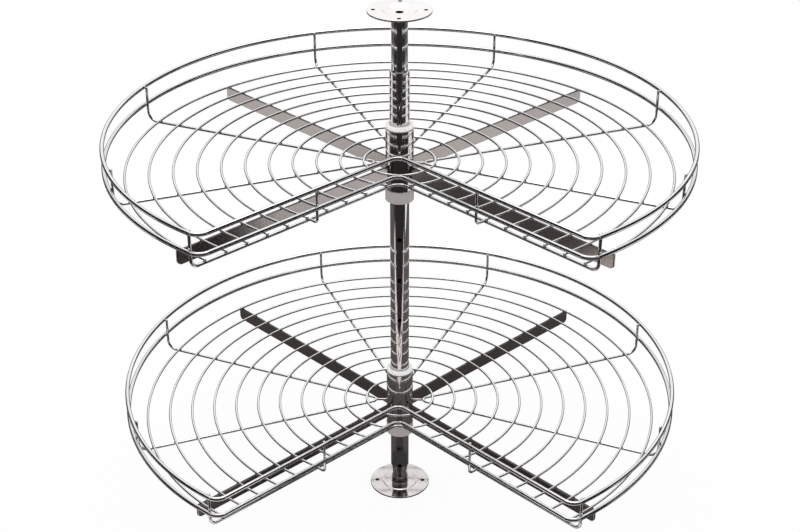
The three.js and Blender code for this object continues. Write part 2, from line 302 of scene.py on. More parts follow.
def moulded(name, light, dark, gloss, grain):
    """Injection-moulded plastic with a faint spark-eroded grain."""
    made, nodes, links, shader = new_material(name)
    shader.inputs["IOR"].default_value = PLASTIC_IOR
    drift = noise(nodes, links, PLASTIC_DRIFT_SCALE, detail=2)
    speckle = noise(nodes, links, GRAIN_SCALE, detail=4)
    links.new(ramp(nodes, links, drift, dark, light), shader.inputs["Base Color"])
    links.new(ramp(nodes, links, speckle, *gloss), shader.inputs["Roughness"])
    links.new(bump(nodes, links, speckle, grain, GRAIN_DEPTH), shader.inputs["Normal"])
    return made


# Finish: name, light and dark colour, least and most roughness, scale of the ripples, stretch
PLATED = {
    "wire": ("chromed_wire", (0.90, 0.90, 0.91), (0.83, 0.82, 0.82), (0.04, 0.08), 60),
    "tube": ("chromed_tube", (0.86, 0.84, 0.83), (0.80, 0.78, 0.77), (0.03, 0.07), 40, ALONG_POST),
    "hub": ("chromed_hub", (0.80, 0.77, 0.76), (0.72, 0.69, 0.68), (0.06, 0.1), 40, ALONG_POST),
    "flange": ("chromed_flange", (0.97, 0.95, 0.94), (0.92, 0.89, 0.88), (0.04, 0.1), 60),
    # the bottom flange: the flange chrome made darker, as painted shade
    "foot": ("chromed_flange_painted_shade", (0.80, 0.76, 0.745), (0.74, 0.70, 0.69), (0.05, 0.12), 60),
    "weld": ("weld_bead", (0.80, 0.79, 0.79), (0.55, 0.54, 0.54), (0.12, 0.3), 300),
    "screw": ("black_screw", (0.06, 0.06, 0.06), (0.03, 0.03, 0.03), (0.3, 0.5), 200),
}
BAR = ("satin_bar_painted_edge_shade", (0.44, 0.40, 0.385), (0.41, 0.37, 0.355), (0.12, 0.16), 50)
BAR_PAINTED_EDGE_SHADE = 0.22  # painted shade: share of its colour that a bar's upper and lower edge keep
# Finish: name, light and dark colour, least and most roughness, strength of the grain
MOULDED = {
    "bush": ("white_plastic", (0.96, 0.955, 0.95), (0.93, 0.925, 0.92), (0.3, 0.42), 0.1),
    "collar": ("grey_plastic", (0.44, 0.41, 0.395), (0.41, 0.38, 0.365), (0.5, 0.65), 0.3),
}


def make_materials():
    made = {finish: plated(*look) for finish, look in PLATED.items()}
    # the bars get painted shade on their upper and lower edges
    made["bar"] = plated(*BAR, edge=BAR_PAINTED_EDGE_SHADE)
    made.update({finish: moulded(*look) for finish, look in MOULDED.items()})
    return made


# ---- meshes ------------------------------------------------------------------------------------

SHARP = math.radians(32)  # an edge that bends more than this isn't shaded smooth
ON_AXIS = 1e-9  # a smaller radius lies on the axis
NO_CORNER = math.pi - 0.05  # a corner that opens wider than this is left as it is
SIDE_SHARE = 2.5  # a bend takes at most one part in so many of a side
HELD_SHARE = 0.15  # how far before and after a bend the flats are held, as a share of its reach

TURN_SEGMENTS = 96
FLANGE_SEGMENTS = 128
CIRCLE_SEGMENTS = 48  # of cards and grounds
DRILL_SIDES = 24
SCREW_SIDES = 28


def add_piece(name, body, finish, vertices, faces, nodes=(), sharp=SHARP):
    data = bpy.data.meshes.new(name)
    data.from_pydata([tuple(v) for v in vertices], [], faces)
    data.validate()
    data.materials.append(materials[finish])
    data.shade_smooth()
    if sharp:
        data.set_sharp_from_angle(angle=sharp)
    piece = bpy.data.objects.new(name, data)
    bpy.context.scene.collection.objects.link(piece)
    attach(piece, body)
    if nodes:
        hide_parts(*nodes)


def merged(parts):
    """Several (vertices, faces) as one."""
    vertices, faces = [], []
    for some_vertices, some_faces in parts:
        first = len(vertices)
        vertices += some_vertices
        faces += [[first + i for i in face] for face in some_faces]
    return vertices, faces


def moved(part, offset):
    vertices, faces = part
    return [v + offset for v in vertices], faces


def polar(radius, angle, height=0.0):
    return Vector((radius * math.cos(angle), radius * math.sin(angle), height))


def skin(rows, columns, closed=False):
    """Faces of a grid whose rows each run once round; open ends get a flat cap."""
    faces = []
    for i in range(rows if closed else rows - 1):
        near, far = i * columns, (i + 1) % rows * columns
        for k in range(columns):
            after = (k + 1) % columns
            faces.append([near + k, near + after, far + after, far + k])
    if not closed:
        faces.append(list(range(columns))[::-1])
        faces.append(list(range((rows - 1) * columns, rows * columns)))
    return faces


def turned(profile, segments=TURN_SEGMENTS):
    """A body turned about the Z axis from a closed chain of (radius, height) corners."""
    vertices, faces, rows = [], [], []
    for radius, height in profile:
        first = len(vertices)
        if radius < ON_AXIS:
            vertices.append(Vector((0, 0, height)))
            rows.append([first] * segments)
            continue
        vertices += [polar(radius, 2 * math.pi * k / segments, height) for k in range(segments)]
        rows.append(list(range(first, first + segments)))
    for i, row in enumerate(rows):
        following = rows[(i + 1) % len(rows)]
        if row[0] == row[1] and following[0] == following[1]:
            continue
        for k in range(segments):
            after = (k + 1) % segments
            corners = [row[k], row[after], following[after], following[k]]
            faces.append(list(dict.fromkeys(corners)))
    return vertices, faces


def eased(profile, radius, steps=3):
    """A closed (radius, height) chain with its corners rounded off; corners on the axis stay.

    One more point stands right before and after each bend, so that the flats shade as flats.
    """
    chain = []
    for i, (r, z) in enumerate(profile):
        here = Vector((r, z))
        back = Vector(profile[i - 1]) - here
        ahead = Vector(profile[(i + 1) % len(profile)]) - here
        opening = back.angle(ahead, math.pi)
        if r < ON_AXIS or opening > NO_CORNER:
            chain.append((r, z))
            continue
        most = min(back.length, ahead.length) / SIDE_SHARE
        reach = min(radius / math.tan(opening / 2), most)
        start = here + back.normalized() * reach
        end = here + ahead.normalized() * reach
        held = reach * HELD_SHARE
        chain.append(tuple(start + back.normalized() * held))
        for k in range(steps + 1):
            t = k / steps
            at = start * (1 - t) ** 2 + here * 2 * t * (1 - t) + end * t**2
            chain.append((at.x, at.y))
        chain.append(tuple(end + ahead.normalized() * held))
    return chain


def tube_profile(outer, bore, bottom, top):
    return [(bore / 2, bottom), (outer / 2, bottom), (outer / 2, top), (bore / 2, top)]


def rod(start, end, diameter, sides):
    """A straight round rod with flat ends."""
    axis = (end - start).normalized()
    side = axis.orthogonal().normalized()
    vertices = []
    for centre in (start, end):
        for k in range(sides):
            spoke = Quaternion(axis, 2 * math.pi * k / sides) @ side
            vertices.append(centre + spoke * diameter / 2)
    return vertices, skin(2, sides)


def carved(part, tools):
    """The first (vertices, faces) less each of the others."""
    blanks = []
    for vertices, faces in (part, *tools):
        data = bpy.data.meshes.new("blank")
        data.from_pydata([tuple(v) for v in vertices], [], faces)
        blank = bpy.data.objects.new("blank", data)
        bpy.context.scene.collection.objects.link(blank)
        blanks.append(blank)
    for tool in blanks[1:]:
        step = blanks[0].modifiers.new("carve", "BOOLEAN")
        step.operation = "DIFFERENCE"
        step.solver = "EXACT"
        step.object = tool
    bpy.context.view_layer.update()
    graph = bpy.context.evaluated_depsgraph_get()
    cut = bpy.data.meshes.new_from_object(blanks[0].evaluated_get(graph))
    result = [v.co.copy() for v in cut.vertices], [list(p.vertices) for p in cut.polygons]
    for blank in blanks:
        bpy.data.objects.remove(blank)
    bpy.data.meshes.remove(cut)
    return result


def drilled(part, drills):
    """The (vertices, faces) with round holes bored through; a drill is (start, end, diameter)."""
    return carved(part, [rod(*drill, DRILL_SIDES) for drill in drills])


# ---- wires -------------------------------------------------------------------------------------

RIM_SIDES = 18
WIRE_SIDES = 14
FLOOR_SIDES = 12  # of the floor rings and radial wires

BEND_STEPS = 8
RIM_APEX_STEPS = 10
RIM_CORNER_STEPS = 12
RIM_SWEEP_STEPS = 220
FIRST_RING_STEPS = 96
RING_STEPS = 60  # and so many more for each mm of a ring's radius:
RING_STEPS_PER_MM = 0.4

STEEP = 0.9  # a wire whose direction has more than this of Z starts out upright
END_RUB = 0.35  # the edge of a cut end is rubbed round this far, as a share of the wire's radius
SHOULDER_DEPTH = 0.3  # one more ring within the rub, this share of it from the end
SHOULDER_RADIUS = 0.9  # and this share of the wire's radius


def rounded(corners, radii):
    """A chain of points with each inner corner bent to its radius."""
    chain = []
    for i, (corner, radius) in enumerate(zip(corners, radii)):
        if not radius:
            chain.append(corner.copy())
            continue
        back = (corners[i - 1] - corner).normalized()
        ahead = (corners[i + 1] - corner).normalized()
        half = back.angle(ahead) / 2
        centre = corner + (back + ahead).normalized() * radius / math.sin(half)
        start = corner + back * radius / math.tan(half) - centre
        end = corner + ahead * radius / math.tan(half) - centre
        sweep = start.angle(end)
        for k in range(BEND_STEPS + 1):
            t = k / BEND_STEPS
            spoke = start * math.sin((1 - t) * sweep) + end * math.sin(t * sweep)
            chain.append(centre + spoke / math.sin(sweep))
    return chain


def arc(radius, start, end, steps, height=0.0, centre=(0, 0)):
    angles = [start + (end - start) * k / steps for k in range(steps + 1)]
    x, y = centre
    return [Vector((x + radius * math.cos(a), y + radius * math.sin(a), height)) for a in angles]


def circle(radius, steps, height=0.0):
    return arc(radius, 0, 2 * math.pi, steps, height)[:-1]


def swept(points, diameter, closed=False, sides=WIRE_SIDES):
    """Round wire along the points. An open end is cut square with its edge rubbed round."""
    count = len(points)
    tangents = []
    for i in range(count):
        before = points[i - 1] if closed or i else points[i]
        after = points[(i + 1) % count] if closed or i < count - 1 else points[i]
        tangents.append((after - before).normalized())
    upright = abs(tangents[0].z) > STEEP
    normal = Vector((0, 1, 0)) if upright else UP.copy()
    radius = diameter / 2
    rings = []
    for point, tangent in zip(points, tangents):
        normal = (normal - tangent * normal.dot(tangent)).normalized()
        rings.append((point, tangent, normal.copy(), radius))
    if not closed:
        rub = radius * END_RUB
        narrowed = radius * SHOULDER_RADIUS
        first, ahead, start_normal, _ = rings[0]
        last, behind, end_normal, _ = rings[-1]
        rings[0] = (first + ahead * rub, ahead, start_normal, radius)
        rings[-1] = (last - behind * rub, behind, end_normal, radius)
        rings.insert(0, (first + ahead * rub * SHOULDER_DEPTH, ahead, start_normal, narrowed))
        rings.insert(0, (first, ahead, start_normal, radius - rub))
        rings.append((last - behind * rub * SHOULDER_DEPTH, behind, end_normal, narrowed))
        rings.append((last, behind, end_normal, radius - rub))
    vertices = []
    for point, tangent, across, size in rings:
        side = tangent.cross(across)
        for k in range(sides):
            angle = 2 * math.pi * k / sides
            spoke = across * math.cos(angle) + side * math.sin(angle)
            vertices.append(point + spoke * size)
    return vertices, skin(len(rings), sides, closed)


def beside_leg(side, along, offset, height=0.0):
    """A point beside a notch leg; side is -1 for the left leg and 1 for the right one."""
    half = math.sqrt(0.5)
    return Vector((side * (along - offset) * half, -(along + offset) * half, height))


def spun(points, angle):
    turn = Matrix.Rotation(angle, 3, "Z")
    return [turn @ p for p in points]


def rim_outline(height):
    """The closed three-quarter outline shared by both rims."""
    inner = RIM_LEG_OFFSET - RIM_CORNER
    along = math.sqrt((RIM_RADIUS - RIM_CORNER) ** 2 - inner**2)
    corner = beside_leg(1, along, inner, height)
    angle = math.atan2(corner.y, corner.x)
    right = arc(RIM_CORNER, math.radians(-135), angle, RIM_CORNER_STEPS, height, corner.xy)
    sweep = arc(RIM_RADIUS, angle, math.pi - angle, RIM_SWEEP_STEPS, height)[1:-1]
    left = [Vector((-p.x, p.y, p.z)) for p in reversed(right)]
    centre = (0, -(RIM_LEG_OFFSET + RIM_APEX_BEND) * math.sqrt(2))
    start, end = math.radians(135), math.radians(45)
    apex = arc(RIM_APEX_BEND, start, end, RIM_APEX_STEPS, height, centre)
    return apex + right + sweep + left


def notch_edge_points():
    height = under_rings(EDGE_WIRE)
    along = math.sqrt(inside_rim(EDGE_WIRE) ** 2 - EDGE_OFFSET**2)
    corners = [
        beside_leg(-1, along, EDGE_OFFSET, UPRIGHT_TOP),
        beside_leg(-1, along, EDGE_OFFSET, height),
        Vector((0, -EDGE_OFFSET * math.sqrt(2), height)),
        beside_leg(1, along, EDGE_OFFSET, height),
        beside_leg(1, along, EDGE_OFFSET, UPRIGHT_TOP),
    ]
    return rounded(corners, [0, EDGE_CORNER_BEND, EDGE_APEX_BEND, EDGE_CORNER_BEND, 0])


def radial_upright(side, height):
    reach = inside_rim(RADIAL_WIRE)
    x, y = reach * math.cos(RADIAL_SPREAD), reach * math.sin(RADIAL_SPREAD)
    return Vector((x, side * y, height))


def radial_tip():
    foot = radial_upright(1, 0)
    half = math.atan2(foot.y, foot.x - RADIAL_APEX)
    return RADIAL_APEX + RADIAL_TIP_BEND * (1 / math.sin(half) - 1)


def radial_points(azimuth):
    height = under_rings(RADIAL_WIRE)
    corners = [
        radial_upright(-1, UPRIGHT_TOP),
        radial_upright(-1, height),
        Vector((RADIAL_APEX, 0, height)),
        radial_upright(1, height),
        radial_upright(1, UPRIGHT_TOP),
    ]
    bends = [0, RADIAL_FOOT_BEND, RADIAL_TIP_BEND, RADIAL_FOOT_BEND, 0]
    return spun(rounded(corners, bends), azimuth)


def leg_post_points(side):
    offset = RIM_LEG_OFFSET - (RIM_WIRE + LEG_POST_WIRE) / 2 - WELD_GAP
    height = under_rings(LEG_POST_WIRE)
    foot = EDGE_OFFSET + EDGE_WIRE / 2 + WELD_GAP
    corners = [
        beside_leg(side, LEG_POST_ALONG, offset, UPRIGHT_TOP),
        beside_leg(side, LEG_POST_ALONG, offset, height),
        beside_leg(side, LEG_POST_ALONG, foot, height),
    ]
    return rounded(corners, [0, LEG_POST_BEND, 0])


def ring_points(radius):
    past = math.asin((EDGE_OFFSET + RING_OVERHANG) / radius)
    start = -math.pi / 4 - past
    steps = round(RING_STEPS + radius / MM * RING_STEPS_PER_MM)
    return arc(radius, start, math.pi - start, steps)


# ---- weld beads --------------------------------------------------------------------------------

BEAD_HEIGHT = 1 * MM  # half height of a weld bead between two crossed wires
RING_ON_RADIAL = (2 * MM, 1.9 * MM)  # half length and half width of such beads
RING_ON_ARM = (3 * MM, 1.7 * MM)
RING_ON_EDGE = (1.9 * MM, 2 * MM)
RIM_ON_UPRIGHT = (2.2 * MM, 2 * MM)
FOOT_ON_EDGE = (2 * MM, 2 * MM)
ARM_ON_HUB = (ARM_HEIGHT / 2, 1.3 * MM, 1.6 * MM)  # and half height
LUG_TIP = (1.6 * MM, 1.6 * MM, 0.8 * MM)
LUG_ON_HUB = (2.6 * MM, 2.6 * MM, 1 * MM)
BEAD_ROWS = 6
BEAD_COLUMNS = 10


def bead(centre, normal, along, half_length, half_width, half_height=BEAD_HEIGHT):
    """A squashed bead of weld metal; `normal` points from one wire to the other."""
    normal = normal.normalized()
    along = (along - normal * along.dot(normal)).normalized()
    across = normal.cross(along)
    vertices, faces = [], []
    for i in range(1, BEAD_ROWS):
        tilt = math.pi * i / BEAD_ROWS
        out = math.sin(tilt)
        upwards = normal * half_height * math.cos(tilt)
        for k in range(BEAD_COLUMNS):
            angle = 2 * math.pi * k / BEAD_COLUMNS
            forward = along * half_length * out * math.cos(angle)
            sideways = across * half_width * out * math.sin(angle)
            vertices.append(centre + forward + sideways + upwards)
    top, bottom = len(vertices), len(vertices) + 1
    vertices += [centre + normal * half_height, centre - normal * half_height]
    last = (BEAD_ROWS - 2) * BEAD_COLUMNS
    for k in range(BEAD_COLUMNS):
        after = (k + 1) % BEAD_COLUMNS
        faces.append([top, k, after])
        faces.append([bottom, last + after, last + k])
        for i in range(BEAD_ROWS - 2):
            near, far = i * BEAD_COLUMNS, (i + 1) * BEAD_COLUMNS
            faces.append([near + k, far + k, far + after, near + after])
    return vertices, faces


def radial_crossings(radius):
    """Angles, from a radial wire's own axis, at which its two sides cross a floor ring."""
    foot = radial_upright(1, 0)
    apex = Vector((RADIAL_APEX, 0, 0))
    run = foot - apex
    a, b, c = run.xy.length_squared, 2 * apex.dot(run), apex.length_squared - radius**2
    t = (-b + math.sqrt(b * b - 4 * a * c)) / (2 * a)
    at = apex + run * t
    angle = math.atan2(at.y, at.x)
    return (-angle, angle)


def tier_beads():
    seam = -RING_WIRE / 2 - WELD_GAP / 2
    beads = []
    for radius in ring_radii():
        for azimuth in RADIALS.values():
            for angle in radial_crossings(radius):
                at = polar(radius, azimuth + angle, seam)
                beads.append(bead(at, UP, at, *RING_ON_RADIAL))
        for azimuth in ARMS.values():
            at = polar(radius, azimuth, seam)
            beads.append(bead(at, UP, at.cross(UP), *RING_ON_ARM))
        if radius == FIRST_RING:
            continue
        for side in (-1, 1):
            along = math.sqrt(radius**2 - EDGE_OFFSET**2)
            at = beside_leg(side, along, EDGE_OFFSET, seam)
            beads.append(bead(at, UP, at, *RING_ON_EDGE))
    seam_radius = RIM_RADIUS - RIM_WIRE / 2 - WELD_GAP / 2
    edge_angle = math.pi / 4 + math.asin(EDGE_OFFSET / inside_rim(EDGE_WIRE))
    uprights = [a + s * RADIAL_SPREAD for a in RADIALS.values() for s in (-1, 1)]
    uprights += [-edge_angle, math.pi + edge_angle]
    for height in (RIM_TOP, RIM_MID):
        for angle in uprights:
            at = polar(seam_radius, angle, height)
            beads.append(bead(at, at.xy.to_3d(), UP, *RIM_ON_UPRIGHT))
        for side in (-1, 1):
            offset = RIM_LEG_OFFSET - RIM_WIRE / 2 - WELD_GAP / 2
            at = beside_leg(side, LEG_POST_ALONG, offset, height)
            outwards = beside_leg(side, 0, 1)
            beads.append(bead(at, outwards, UP, *RIM_ON_UPRIGHT))
    for side in (-1, 1):
        offset = EDGE_OFFSET + EDGE_WIRE / 2 + WELD_GAP / 2
        at = beside_leg(side, LEG_POST_ALONG, offset, under_rings(LEG_POST_WIRE))
        beads.append(bead(at, beside_leg(side, 0, 1), UP, *FOOT_ON_EDGE))
    for azimuth in ARMS.values():
        for side in (-1, 1):
            spoke = polar(1, azimuth)
            at = spoke * (HUB_OUTER / 2) + spoke.cross(UP) * side * ARM_THICK / 2
            at.z = under_rings(0) - ARM_HEIGHT / 2
            beads.append(bead(at, spoke, UP, *ARM_ON_HUB))
    return merged(beads)


# ---- pieces of one basket ----------------------------------------------------------------------

RADIALS = {"right": 0, "rear": math.pi / 2, "left": math.pi}
ARMS = {
    "front_right": -math.pi / 4,
    "rear_right": math.pi / 4,
    "rear_left": 3 * math.pi / 4,
    "front_left": 5 * math.pi / 4,
}
ARM_CORNER_STEPS = 10
ARM_ROUNDING = [(0, 1.3), (0, 1), (0.3, 0.3), (1, 0)]  # in from the side and the outline, in eases


def hub_parts():
    bore = HUB_OUTER - 2 * HUB_WALL
    profile = eased(tube_profile(HUB_OUTER, bore, -HUB_BELOW, HUB_ABOVE), HUB_EASE)
    height = under_rings(RADIAL_WIRE)
    root = HUB_OUTER / 2 - HUB_WALL / 2
    end = radial_tip() - RADIAL_WIRE / 2 - WELD_GAP
    parts = [turned(profile)]
    for angle in (0, math.pi):
        parts.append(swept([polar(root, angle, height), polar(end, angle, height)], LUG_WIRE))
        tip = polar(end, angle, height)
        parts.append(bead(tip, tip, UP, *LUG_TIP))
        foot = polar(HUB_OUTER / 2, angle, height)
        parts.append(bead(foot, foot, UP, *LUG_ON_HUB))
    return merged(parts)


def bush_parts():
    sleeve = HUB_OUTER / 2 - HUB_WALL - BUSH_WALL_GAP
    head = BUSH_HEAD / 2
    bore = SLEEVE_BORE / 2
    under = HUB_ABOVE + WELD_GAP
    top = under + BUSH_HEAD_HEIGHT
    profile = [
        (bore, -HUB_BELOW),
        (sleeve, -HUB_BELOW),
        (sleeve, under),
        (head, under),
        (head, top - BUSH_CHAMFER),
        (head - BUSH_CHAMFER, top),
        (bore, top),
    ]
    return turned(eased(profile, BUSH_EASE, steps=4))


def arm_part(azimuth):
    """A flat bar on edge with all its long edges eased and its lower outer corner rounded."""
    top = under_rings(0)
    bottom = top - ARM_HEIGHT
    start = HUB_OUTER / 2 + WELD_GAP
    corner = []
    for k in range(ARM_CORNER_STEPS + 1):
        angle = math.pi / 2 * k / ARM_CORNER_STEPS
        x = ARM_END - ARM_CORNER + ARM_CORNER * math.sin(angle)
        corner.append((x, bottom + ARM_CORNER * (1 - math.cos(angle))))
    outline = [(start, top), (start, bottom), *corner, (ARM_END, top)]
    middle_x, middle_z = (start + ARM_END) / 2, (top + bottom) / 2
    half_x, half_z = (ARM_END - start) / 2, ARM_HEIGHT / 2
    rounding = [(deep * ARM_EASE, inset * ARM_EASE) for deep, inset in ARM_ROUNDING]
    layers = [(-ARM_THICK / 2 + deep, inset) for deep, inset in rounding]
    layers += [(ARM_THICK / 2 - deep, inset) for deep, inset in reversed(rounding)]
    vertices = []
    for y, inset in layers:
        shrunk_x, shrunk_z = 1 - inset / half_x, 1 - inset / half_z
        for x, z in outline:
            along = middle_x + (x - middle_x) * shrunk_x
            vertices.append(Vector((along, y, middle_z + (z - middle_z) * shrunk_z)))
    return spun(vertices, azimuth), skin(len(layers), len(outline))


def add_basket(tier):
    body = f"{tier}_basket"
    lift = UP * floor_of(tier)

    def add(name, finish, part, sharp=SHARP):
        vertices, faces = moved(part, lift)
        node = f"{tier}_{name}"
        nodes = [node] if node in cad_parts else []
        add_piece(f"{node}_dressed", body, finish, vertices, faces, nodes, sharp)

    add("top_rim", "wire", swept(rim_outline(RIM_TOP), RIM_WIRE, True, RIM_SIDES), sharp=None)
    add("middle_rim", "wire", swept(rim_outline(RIM_MID), RIM_WIRE, True, RIM_SIDES), sharp=None)
    add("notch_edge_wire", "wire", swept(notch_edge_points(), EDGE_WIRE))
    first, *others = ring_radii()
    add("floor_ring_01", "wire", swept(circle(first, FIRST_RING_STEPS), RING_WIRE, True))
    for k, radius in enumerate(others, 2):
        ring = swept(ring_points(radius), RING_WIRE, sides=FLOOR_SIDES)
        add(f"floor_ring_{k:02d}", "wire", ring)
    for place, azimuth in RADIALS.items():
        wire = swept(radial_points(azimuth), RADIAL_WIRE, sides=FLOOR_SIDES)
        add(f"radial_wire_{place}", "wire", wire)
    add("leg_post_left", "wire", swept(leg_post_points(-1), LEG_POST_WIRE))
    add("leg_post_right", "wire", swept(leg_post_points(1), LEG_POST_WIRE))
    for place, azimuth in ARMS.items():
        add(f"arm_{place}", "bar", arm_part(azimuth))
    add("hub", "hub", hub_parts())
    add("hub_bush", "bush", bush_parts())
    add("weld_beads", "weld", tier_beads(), sharp=None)


# ---- the post and what stays on it -------------------------------------------------------------

POST_DRILL_REACH = 30 * MM  # drills start and end this far from the post's axis
FLANGE_DRILL_PAST = 10 * MM  # and this far above and below a flange


def collar_height(tier):
    low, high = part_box(f"{tier}_collar")
    return low.z, high.z


def add_collar(tier):
    low, high = collar_height(tier)
    profile = eased(tube_profile(COLLAR_OUTER, SLEEVE_BORE, low, high), COLLAR_EASE, steps=5)
    middle = (low + high) / 2
    screw_low, screw_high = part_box(f"{tier}_collar_screw")
    hole = screw_high.x - screw_low.x + 2 * WELD_GAP
    drill = (Vector((0, 0, middle)), Vector((0, COLLAR_OUTER, middle)), hole)
    part = drilled(turned(profile), [drill])
    add_piece(f"{tier}_collar_dressed", "base", "collar", *part, [f"{tier}_collar"])
    add_screw(tier, screw_low, screw_high, middle)


def add_screw(tier, low, high, height):
    """A set screw with a hexagon socket in its outer end."""
    inner, outer = Vector((0, low.y, height)), Vector((0, high.y, height))
    deep = Vector((0, SOCKET_DEPTH, 0))
    corners = SCREW_SOCKET / math.cos(math.pi / 6)
    socket = rod(outer - deep, outer + deep, corners, sides=6)
    part = carved(rod(inner, outer, high.x - low.x, SCREW_SIDES), [socket])
    add_piece(f"{tier}_collar_screw_dressed", "base", "screw", *part, [f"{tier}_collar_screw"])


def add_outer_tube():
    low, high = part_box("post_outer_tube")
    bore = POST_OUTER / 2 - POST_WALL
    neck_bore = NECK_OUTER / 2 - NECK_WALL
    taper_top = NECK_TOP + NECK_TAPER
    profile = [
        (neck_bore, low.z),
        (NECK_OUTER / 2, low.z),
        (NECK_OUTER / 2, NECK_TOP),
        (POST_OUTER / 2, taper_top),
        (POST_OUTER / 2, high.z),
        (bore, high.z),
        (bore, taper_top),
        (neck_bore, NECK_TOP),
    ]
    heights = POST_HOLE_HEIGHTS + [sum(collar_height(tier)) / 2 for tier in TIERS]
    reach = Vector((0, POST_DRILL_REACH, 0))
    drills = [(UP * z - reach, UP * z + reach, POST_HOLE) for z in heights]
    part = drilled(turned(eased(profile, POST_EASE)), drills)
    add_piece("post_outer_tube_dressed", "base", "tube", *part, ["post_outer_tube"])


def add_inner_tube():
    low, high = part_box("post_inner_tube")
    bore = INNER_OUTER - 2 * INNER_WALL
    part = turned(eased(tube_profile(INNER_OUTER, bore, low.z, high.z), INNER_EASE))
    add_piece("post_inner_tube_dressed", "extension", "tube", *part, ["post_inner_tube"])


def screw_drills(bottom, top):
    drills = []
    for k in range(SCREW_COUNT):
        at = polar(SCREW_CIRCLE / 2, 2 * math.pi * k / SCREW_COUNT)
        drills.append((at + UP * bottom, at + UP * top, SCREW_HOLE))
    return drills


def add_bottom_flange():
    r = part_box("bottom_flange")[1].x
    cup_bore = NECK_OUTER / 2 + WELD_GAP
    cup_outer = cup_bore + CUP_WALL
    cup_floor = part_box("post_outer_tube")[0].z - WELD_GAP
    profile = [
        (0, 0),
        (r, 0),
        (r, FLANGE_THICK),
        (DOME_RADIUS + DOME_SLOPE, FLANGE_THICK),
        (DOME_RADIUS, FLANGE_THICK + DOME_RISE),
        (cup_outer, FLANGE_THICK + DOME_RISE),
        (cup_outer, CUP_HEIGHT),
        (cup_bore, CUP_HEIGHT),
        (cup_bore, cup_floor),
        (0, cup_floor),
    ]
    drills = screw_drills(-FLANGE_DRILL_PAST, FLANGE_DRILL_PAST)
    part = drilled(turned(eased(profile, FLANGE_EASE, steps=4), FLANGE_SEGMENTS), drills)
    # the bottom flange takes the darker copy of the flange chrome, as painted shade
    add_piece("bottom_flange_dressed", "base", "foot", *part, ["bottom_flange"])


def add_top_flange():
    low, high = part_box("top_flange")
    r, under, top = high.x, low.z, high.z
    centre = TOP_CENTRE_HOLE / 2
    profile = [
        (centre, under),
        (DISH_RADIUS + DISH_LIP - DISH_SLOPE, under),
        (DISH_RADIUS + DISH_LIP, under + DISH_DEPTH),
        (r, under + DISH_DEPTH),
        (r, top),
        (DISH_RADIUS, top),
        (DISH_RADIUS - DISH_SLOPE, top - DISH_DEPTH),
        (centre, top - DISH_DEPTH),
    ]
    drills = screw_drills(under - FLANGE_DRILL_PAST, top + FLANGE_DRILL_PAST)
    part = drilled(turned(eased(profile, FLANGE_EASE, steps=4), FLANGE_SEGMENTS), drills)
    add_piece("top_flange_dressed", "extension", "flange", *part, ["top_flange"])


# ---- studio ------------------------------------------------------------------------------------

FLOOR_HALF = 6
FLOOR_GREY = 0.86
FLOOR_ROUGHNESS = 0.9
FLOOR_DROP = 0.5 * MM  # below the cards
FLOOR_WHITE = 0.93  # share of plain white in the floor, where the camera sees it
GROUND_DROP = 0.3 * MM
# grey of the near-black disc under the bottom flange: painted shadow
PAINTED_SHADOW_GREY = 0.02

# Outlines of flat cards that lie on the floor and show only in the chrome, in metres
FAR = 4
DARK_MAT = [(-FAR, -FAR), (FAR, -FAR), (FAR, FAR), (-FAR, FAR)]
DARK_ROOM = [
    (-FAR, -FAR), (FAR, -FAR), (FAR, -0.3), (0.66, -0.3),
    (0.66, -0.51), (0, -0.42), (-0.9, -0.3), (-FAR, -0.3),
]
FOOT_SHADE = [(-0.07, -0.24), (0.07, -0.24), (0.09, 0.02), (-0.09, 0.02)]
FLANGE_SHADE_RADIUS = 0.055
TABLE_EDGE = [
    (-0.72, -0.47), (0, -0.42), (0.64, -0.51),
    (0.64, -0.46), (0, -0.29), (-0.72, -0.32),
]
RIGHT_GLOW = [(0.74, -0.3), (1.65, -0.3), (1.65, 0.6), (1.06, 0.6), (0.85, -0.05)]
LEFT_GLOW = [(-1.06, -0.02), (-1.06, 0.6), (-1.65, 0.6), (-1.65, -0.02)]
CARD_STEP = 0.2 * MM  # from one card up to the next
WARM = (1, 0.93, 0.92)
NEUTRAL = (1, 1, 1)

STRIP_AZIMUTHS = (-144, -36)  # two upright light strips in front, as degrees from +X
STRIP_DISTANCE = 2
STRIP_WIDTH = 0.14
STRIP_LENGTH = 0.5
STRIP_HEIGHT = 1.15  # of its middle
STRIP_GREY = 0.95

SKY_LEAN = math.radians(30)  # the bright part of the sky leans this far back
SKY_RISE = (0.42, 0.66)  # the cosines from its middle at which it is dark, and bright
SKY_DARK = (0.03, 0.027, 0.026)
SKY_HALF_WIDTH = 0.58  # it is a band this wide to either side, as the sine of the angle
SKY_SOFTNESS = 0.06  # and fades over twice this
SKY_ASIDE = 0.03  # to this share of itself

LAMP_SIZE = 1.6
LAMP_PLACE = Vector((0, 0.5, 2.8))
LAMP_AIM = Vector((0, 0.2, 0))
LAMP_WATTS = 12


